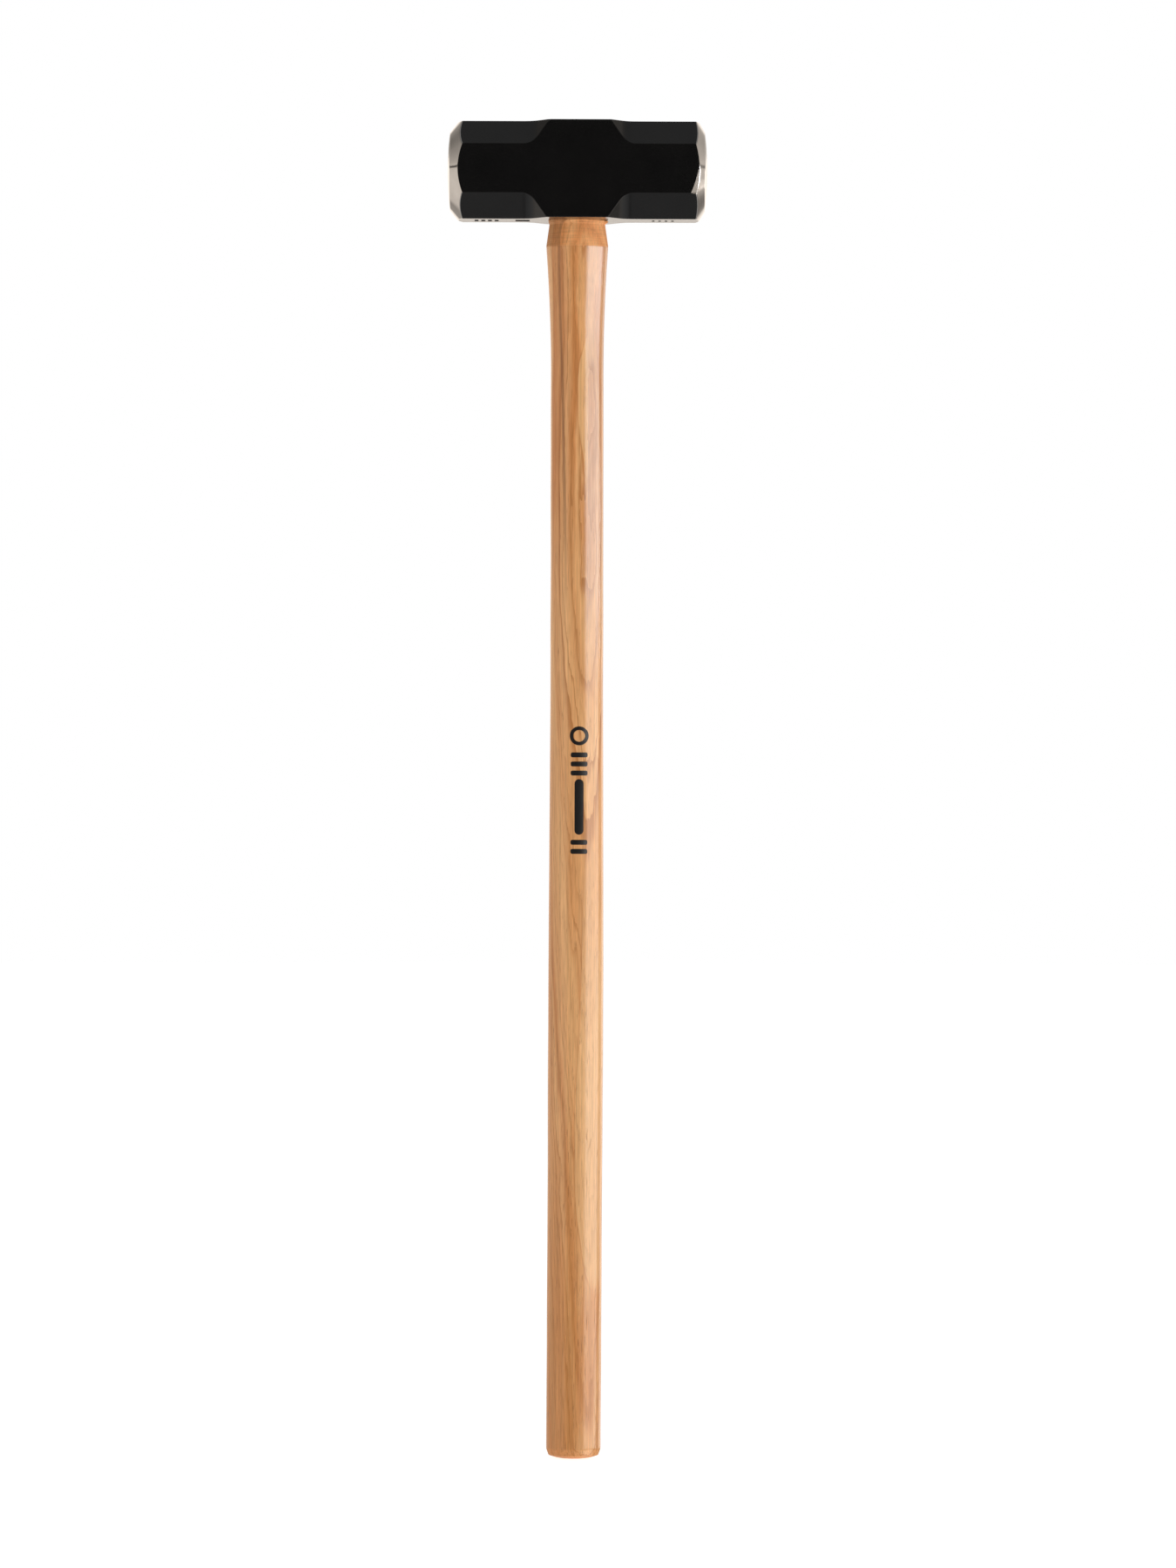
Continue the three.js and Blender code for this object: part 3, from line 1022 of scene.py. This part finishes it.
def add_islands(g, color, x, y, z):
    """Pale islands with a darker rim, on the front of the handle only."""
    for edge, (low_fade, high_fade), right_limit, strength in ISLANDS:
        inside = x - g.curve(z, edge) + g.noise(x * 0.5, y * 0.5, z * 0.06) * 0.6
        bottom, top = edge[0][0], edge[-1][0]
        window = z.step(bottom, bottom + low_fade) * z.step(top, top - high_fade)
        window = window * x.step(right_limit + 1, right_limit - 1) * y.step(1, -2)
        rim = inside.step(-1.2, 0) * inside.step(0.8, 0)
        color = g.mix(rim * window * 0.35, color, ISLAND_RIM)
        color = g.mix(inside.step(-0.1, 0.6) * window * strength, color, ISLAND_WOOD)
    return color


def hickory():
    """Flat-sawn hickory under a clear lacquer, bare on the neck above the shoulder."""
    material, g = new_material("hickory")
    x, y, z = g.position()
    level = growth_level(g, x, y, z)
    rings = level / RING_WIDTH + g.noise(level * 0.17, 3.0, 7.0, detail=0.0) * 1.1
    ring = rings.math("FLOOR")
    share = rings - ring
    strength = g.random(ring) * 0.8 + 0.2
    late = share.step(0.55, 0.95) * share.step(1.0, 0.96) * strength
    early = share.step(0.35, 0.02)

    upper = z.step(560, 700)
    tone = g.curve(level, BAND_TONE) * (upper * 0.5 + 0.5) + (g.random(ring + 31.5) - 0.5) * 0.3
    tone = tone + g.noise(x * 0.12, y * 0.12, z * 0.008, detail=3.0) * 0.4
    bare = z.step(SHOULDER_HEIGHT - 0.6, SHOULDER_HEIGHT + 0.4)
    aside = x - g.curve(z, DARK_LINE)
    color = g.mix(tone.step(-0.1, 1.1), PALE_WOOD, DEEP_WOOD)
    color = g.mix(late * 0.8, color, LATE_WOOD)
    color = g.mix(z.step(280, 40) * x.step(10, -4) * 0.6, color, REDDER_WOOD)
    neck = bare * z.step(HEAD_BOTTOM + 4, HEAD_BOTTOM)
    color = g.mix(neck * 0.35, color, BARE_WOOD)
    # Painted shade: the right side of the upper handle is darkened so that the lacquer highlight there looks
    # dimmer; this is not heartwood.
    painted_shade_right = x.step(3, 9) * z.step(490, 640) * (neck * -1 + 1)
    color = g.mix(painted_shade_right * 0.45, color, RIGHT_PAINTED_SHADE)
    color = add_islands(g, color, x, y, z)
    darker = aside.math("ABSOLUTE").step(1.4, 0.2) * upper * 1.5 + aside.step(0.9, -0.9) * neck
    color = g.mix(darker.math("MINIMUM", 1.3) * 0.5, color, DARK_GRAIN)

    streak = g.noise(x * 0.9, y * 0.9, z * 0.012, detail=3.0)
    fibre = g.noise(x * 3.2, y * 3.2, z * 0.08, detail=2.0)
    turning = g.noise(x * 0.05, y * 0.05, z * 1.6, detail=2.0) * neck
    shade = streak * 0.3 + fibre * 0.3 + turning * 0.3 + neck * 0.2 + 1.0
    color = g.mix(1.0, color, shade, "MULTIPLY")

    fine_pore = g.noise(x * 1.9, y * 1.9, z * 0.09, detail=2.0).step(0.2, 0.42)
    long_pore = g.noise(x * 1.4, y * 1.4, z * 0.035, detail=2.0).step(0.24, 0.5)
    dense = g.noise(x * 0.08, y * 0.08, z * 0.01).step(-0.25, 0.35)
    low = z.step(440, 200) * (x.step(14, 2) * 0.6 + 0.4)
    pores = fine_pore * (early * 0.6 + dense * 0.35 + low * 0.4) + long_pore * (early * 0.4 + low * 0.6)
    pores = pores.math("MINIMUM", 1.0)
    color = g.mix(pores * 0.75, color, PORE)

    roughness = pores * 0.12 + fibre * 0.04 + 0.13 + bare * 0.5
    normal = g.bump(fibre * 0.006 - pores * 0.03 + streak * 0.014 + turning * 0.08)
    g.surface(base_color=color, roughness=roughness, normal=normal)
    return material


def wedge_wood():
    """The hardwood wedge: dry, pale and close grained, with its fibres along Z."""
    material, g = new_material("wedge_wood")
    x, y, z = g.position()
    grain = g.noise(x * 0.5, y * 2.2, z * 0.02, detail=3.0)
    fibre = g.noise(x * 4.0, y * 6.0, z * 0.1, detail=2.0)
    pores = g.noise(x * 2.4, y * 3.0, z * 0.12, detail=1.0).step(0.28, 0.5)
    color = g.mix(grain + 0.5, (0.50, 0.33, 0.17, 1), (0.36, 0.20, 0.09, 1))
    color = g.mix(pores * 0.6, color, (0.13, 0.06, 0.025, 1))
    roughness = fibre * 0.12 + 0.66
    g.surface(base_color=color, roughness=roughness, normal=g.bump(fibre * 0.03 - pores * 0.06))
    return material


def wedge_steel():
    """Stamped mild steel, darkened and with hammer marks where it was driven in."""
    material, g = new_material("wedge_steel")
    x, y, z = g.position()
    dents = g.noise(x * 0.45, y * 0.45, z * 0.45, detail=2.0)
    scale = g.noise(x * 1.6, y * 1.6, z * 1.6, detail=4.0)
    rust = g.noise(x * 0.35, y * 0.35, z * 0.35, detail=5.0, roughness=0.65).step(0.12, 0.5)
    color = g.mix(scale + 0.5, (0.20, 0.19, 0.18, 1), (0.42, 0.41, 0.40, 1))
    color = g.mix(rust * 0.55, color, (0.16, 0.065, 0.028, 1))
    roughness = scale * 0.15 + 0.42 + rust * 0.3
    metallic = rust * -0.6 + 1.0
    normal = g.bump(dents * 0.12 + scale * 0.02)
    g.surface(base_color=color, roughness=roughness, metallic=metallic, normal=normal)
    return material


def mark_ink():
    """Black printing ink, a little thin where the grain took less of it."""
    material, g = new_material("mark_ink")
    x, y, z = g.position()
    grain = g.noise(x * 3.0, y * 3.0, z * 0.2, detail=2.0)
    thin = grain.step(0.2, 0.6)
    color = g.mix(thin * 0.4, (0.012, 0.011, 0.011, 1), (0.06, 0.035, 0.02, 1))
    roughness = grain * 0.1 + 0.32
    g.surface(base_color=color, roughness=roughness, normal=g.bump(grain * 0.01))
    return material


# ------------------------------------------------------------ studio


def make_floor():
    """A pale floor, wide enough to lie under the object in every view."""
    reach = 14.0
    mesh = bpy.data.meshes.new("floor")
    mesh.from_pydata(
        [(-reach, -reach, 0), (reach, -reach, 0), (reach, reach, 0), (-reach, reach, 0)], [], [(0, 1, 2, 3)]
    )
    floor = bpy.data.objects.new("floor", mesh)
    bpy.context.scene.collection.objects.link(floor)
    material, g = new_material("pale_floor")
    x, y, _ = g.coordinates("Object")
    cloud = g.noise(x * 0.8, y * 0.8, 0.0, detail=3.0)
    color = g.mix(cloud + 0.5, (0.86, 0.86, 0.86, 1), (0.9, 0.9, 0.9, 1))
    g.surface(
        base_color=color, roughness=0.9, specular_ior_level=0.0,
        emission_color=(1.0, 1.0, 1.0, 1), emission_strength=FLOOR_GLOW,
    )
    mesh.materials.append(material)
    floor.visible_glossy = False


# (height of the direction, brightness) of the room on each side: dark seams, pale middle
LEFT_WALL = [
    (-1, 0.27), (-0.985, 0.27), (-0.972, 0.1), (-0.955, 0.27), (-0.85, 0.38), (-0.6, 0.5), (-0.39, 0.55),
    (-0.3, 0.85), (-0.1, 0.85), (0.1, 0.8), (0.18, 0.62), (0.3, 0.45), (0.39, 0.36), (0.5, 0.18),
    (0.7, 0.2), (1, 0.27),
]
RIGHT_WALL = [
    (-1, 0.27), (-0.985, 0.27), (-0.965, 0.12), (-0.94, 0.27), (-0.85, 0.4), (-0.6, 0.5), (-0.45, 0.25),
    (-0.32, 0.14), (-0.2, 0.6), (-0.1, 0.7), (0.1, 0.75), (0.2, 0.64), (0.39, 0.42), (0.5, 0.3),
    (0.7, 0.2), (1, 0.27),
]


SEAM_HEIGHT = 0.107
SEAM_LIGHT = 0.03
BACK_LIGHT = 1.2
PANEL_LIGHT = 5.2
STRIP_LIGHT = 2.4
CAMERA_WALL_LIGHT = 0.02

# (direction, cosine of the angle from it where the patch ends, brightness)
LIGHT_PATCHES = [
    ((0.756, -0.378, -0.537), 0.94, 3.0),
    ((0.845, 0.525, -0.075), 0.996, 1.1),
    ((0.384, -0.911, -0.15), 0.985, 0.6),
]


def make_world():
    """A white background for the camera, and a warm room for everything else.

    Its panels, strips, seams and patches are placed so that the steel and the lacquer mirror
    them as in the photograph. The wall behind the camera is dark.
    """
    world = bpy.data.worlds.new("studio")
    bpy.context.scene.world = world
    g = Graph(world)
    east, north, up = g.coordinates("Generated")
    right = east.step(-0.35, 0.35)
    room = g.blend(right, g.curve(up, LEFT_WALL), g.curve(up, RIGHT_WALL))
    steep = up.math("ABSOLUTE")
    room = g.blend(north.step(0.85, 0.97) * steep.step(0.5, 0.3), room, BACK_LIGHT)
    seam = (up - SEAM_HEIGHT).math("ABSOLUTE").step(0.022, 0.012)
    room = g.blend(seam * (right * -0.35 + 0.95), room, SEAM_LIGHT)
    panel = east.step(0.52, 0.6) * north.step(0.14, 0.06) * up.step(0.06, 0.02) * up.step(-0.12, -0.09)
    room = g.blend(panel, room, PANEL_LIGHT)
    strip = east.step(0.5, 0.56) * north.step(0.52, 0.58) * up.step(0.09, 0.06) * up.step(-0.13, -0.1)
    room = g.blend(strip, room, STRIP_LIGHT)
    corner = (north + right * 0.18).step(0.6, 0.72) * north.step(0.95, 0.9)
    room = g.blend(corner * up.step(-0.13, -0.21) * up.step(-0.5, -0.42), room, right * -0.2 + 0.4)
    room = g.blend(north.step(-0.8, -0.93), room, CAMERA_WALL_LIGHT)
    for direction, reach, radiance in LIGHT_PATCHES:
        facing = east * direction[0] + north * direction[1] + up * direction[2]
        room = g.blend(facing.step(reach, reach * 0.7 + 0.3), room, radiance)
    seen = Field(g, g.node("ShaderNodeLightPath").outputs["Is Camera Ray"])
    warmth = steep.step(0.85, 0.5) * (-seen + 1.0)
    color = g.mix(warmth, (1.0, 1.0, 1.0, 1), (1.0, 0.91, 0.82, 1))
    background = g.node("ShaderNodeBackground", {"Color": color, "Strength": g.blend(seen, room, 1.0)})
    output = g.node("ShaderNodeOutputWorld")
    g.tree.links.new(background.outputs[0], output.inputs[0])


MIRRORED_TINT = (0.94, 1.0, 1.05)
PLAIN_TINT = (1.0, 1.0, 1.0)


def add_softbox(name, azimuth, distance, height, width, tall, radiance, mirrored):
    """A soft light facing the handle; azimuth 0 is on the right (+X), 90 behind the object.

    A mirrored one gives only glossy reflections, the other kind gives only diffuse light.
    """
    light = bpy.data.lights.new(name, "AREA")
    light.shape = "RECTANGLE"
    light.size = width
    light.size_y = tall
    light.energy = radiance * math.pi * width * tall
    light.color = MIRRORED_TINT if mirrored else PLAIN_TINT
    lamp = bpy.data.objects.new(name, light)
    bpy.context.scene.collection.objects.link(lamp)
    turn = math.radians(azimuth)
    lamp.location = (distance * math.cos(turn), distance * math.sin(turn), height)
    aim = Vector((0, 0, height)) - lamp.location
    lamp.rotation_euler = aim.to_track_quat("-Z", "Y").to_euler()
    lamp.visible_camera = False
    lamp.visible_diffuse = not mirrored
    lamp.visible_glossy = mirrored


def make_camera():
    """A long lens, level with the middle of the hammer."""
    camera = bpy.data.cameras.new("camera")
    camera.sensor_width = CAMERA_SENSOR
    camera.lens = CAMERA_LENS
    camera.clip_end = CAMERA_REACH
    holder = bpy.data.objects.new("camera", camera)
    bpy.context.scene.collection.objects.link(holder)
    holder.location = CAMERA_PLACE
    holder.rotation_euler = (math.radians(90), math.radians(CAMERA_ROLL), 0)
    bpy.context.scene.camera = holder


# ------------------------------------------------------------ the scene

paint = black_paint()
steel = polished_steel()
make_head_body(paint)
make_striking_face("striking_face_left", LEFT_END, steel)
make_striking_face("striking_face_right", RIGHT_END, steel)
make_handle(hickory())
make_wood_wedge(wedge_wood())
wedge_finish = wedge_steel()
make_steel_wedge("steel_wedge_left_barbed", -1, wedge_finish, "steel_wedge_left")
make_steel_wedge("steel_wedge_right_barbed", 1, wedge_finish, "steel_wedge_right")
make_printed_mark(mark_ink())

make_floor()
make_world()
add_softbox("softbox_right", -26, 2.5, 0.82, 3.6, 0.42, 4.8, mirrored=True)
add_softbox("strip_right", 18, 3.0, 0.7, 0.26, 0.22, 10.0, mirrored=True)
add_softbox("fill_right", -50, 3.0, 0.5, 1.6, 1.6, 2.0, mirrored=False)
add_softbox("fill_back", 130, 3.0, 0.5, 1.6, 1.6, 2.4, mirrored=False)
make_camera()
bpy.context.scene.view_settings.view_transform = "Standard"
